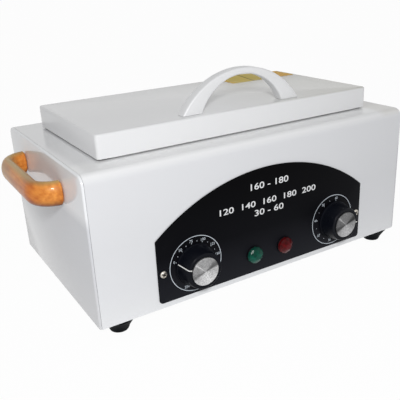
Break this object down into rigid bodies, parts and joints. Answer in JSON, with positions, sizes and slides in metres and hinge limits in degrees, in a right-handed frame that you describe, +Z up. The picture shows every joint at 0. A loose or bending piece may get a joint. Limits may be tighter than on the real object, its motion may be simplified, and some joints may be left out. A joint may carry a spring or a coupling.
{
  "type": "dry heat sterilizer",
  "caption": "Bench-top dry heat sterilizer: enamelled case on rubber feet, hinged lid with an arch handle over a heated chamber, fascia with knobs and pilot lamps, wooden end handles.",
  "frame": {"origin": "on the surface the feet stand on, under the middle of the whole object's box", "axes": "+Z up, +X to the right-hand end seen from the front, front with the knobs faces -Y"},
  "size_m": [0.4206, 0.2392, 0.2143],
  "materials": {
    "enamel": "white baked enamel, glossy",
    "base_metal": "zinc plated sheet, satin",
    "foot_rubber": "black moulded rubber, matte",
    "fastener_steel": "nickel plated steel, bright",
    "hinge_steel": "stainless sheet, satin",
    "fascia_black": "near-black painted plate, satin, white printing",
    "lamp_holder": "black moulded plastic",
    "lamp_green": "green translucent plastic lens",
    "lamp_red": "red translucent plastic lens",
    "varnished_wood": "orange varnished wood, glossy",
    "stainless": "brushed stainless steel",
    "heater_sheath": "heat-tinted steel sheath",
    "fibre": "needled mineral fibre",
    "phenolic": "dark moulded phenolic",
    "seal_rubber": "dark silicone rubber",
    "handle_plastic": "white moulded plastic, glossy",
    "knob_black": "black moulded plastic, white line",
    "knob_cap": "spun aluminium disc"
  },
  "bodies": {
    "case": {"outer_wrap": "enamel", "left_end_panel": "enamel", "right_end_panel": "enamel", "base_plate": "base_metal", "heater_clamp": "base_metal", "insulation_strap": "base_metal", "timer_body": "base_metal", "front_left_foot": "foot_rubber", "front_right_foot": "foot_rubber", "rear_left_foot": "foot_rubber", "rear_right_foot": "foot_rubber", "front_left_foot_screw": "fastener_steel", "front_right_foot_screw": "fastener_steel", "rear_left_foot_screw": "fastener_steel", "rear_right_foot_screw": "fastener_steel", "fascia_screw_left": "fastener_steel", "fascia_screw_right": "fastener_steel", "left_handle_front_screw": "fastener_steel", "left_handle_rear_screw": "fastener_steel", "right_handle_front_screw": "fastener_steel", "right_handle_rear_screw": "fastener_steel", "left_hinge_pin": "fastener_steel", "right_hinge_pin": "fastener_steel", "inlet_pins": "fastener_steel", "thermostat_bulb": "fastener_steel", "left_hinge_case_leaf": "hinge_steel", "right_hinge_case_leaf": "hinge_steel", "fascia_plate": "fascia_black", "green_lamp_body": "lamp_holder", "red_lamp_body": "lamp_holder", "power_inlet": "lamp_holder", "green_lamp_lens": "lamp_green", "red_lamp_lens": "lamp_red", "left_handle": "varnished_wood", "right_handle": "varnished_wood", "chamber_tank": "stainless", "instrument_tray": "stainless", "tray_grip_left": "stainless", "tray_grip_right": "stainless", "heating_element": "heater_sheath", "tank_insulation": "fibre", "thermostat_body": "phenolic", "terminal_block": "phenolic", "thermal_cutout": "phenolic"},
    "lid": {"lid_shell": "enamel", "lid_liner": "stainless", "lid_insulation": "fibre", "lid_gasket": "seal_rubber", "lid_handle": "handle_plastic", "lid_handle_screw_left": "fastener_steel", "lid_handle_screw_right": "fastener_steel", "left_hinge_lid_leaf": "hinge_steel", "right_hinge_lid_leaf": "hinge_steel"},
    "thermostat_control": {"thermostat_knob": "knob_black", "thermostat_knob_cap": "knob_cap", "thermostat_shaft": "fastener_steel"},
    "timer_control": {"timer_knob": "knob_black", "timer_knob_cap": "knob_cap", "timer_shaft": "fastener_steel"}
  },
  "joints": [
    {"name": "lid_hinge", "type": "hinge", "parent": "case", "child": "lid", "pos_m": [0, 0.09045, 0.1575], "axis": [-1, 0, 0], "range_deg": [0, 100]},
    {"name": "thermostat_turn", "type": "hinge", "parent": "case", "child": "thermostat_control", "pos_m": [-0.0854, -0.11, 0.0497], "axis": [0, 1, 0], "range_deg": [0, 279]},
    {"name": "timer_turn", "type": "hinge", "parent": "case", "child": "timer_control", "pos_m": [0.0854, -0.11, 0.0497], "axis": [0, 1, 0], "range_deg": [0, 278]}
  ]
}
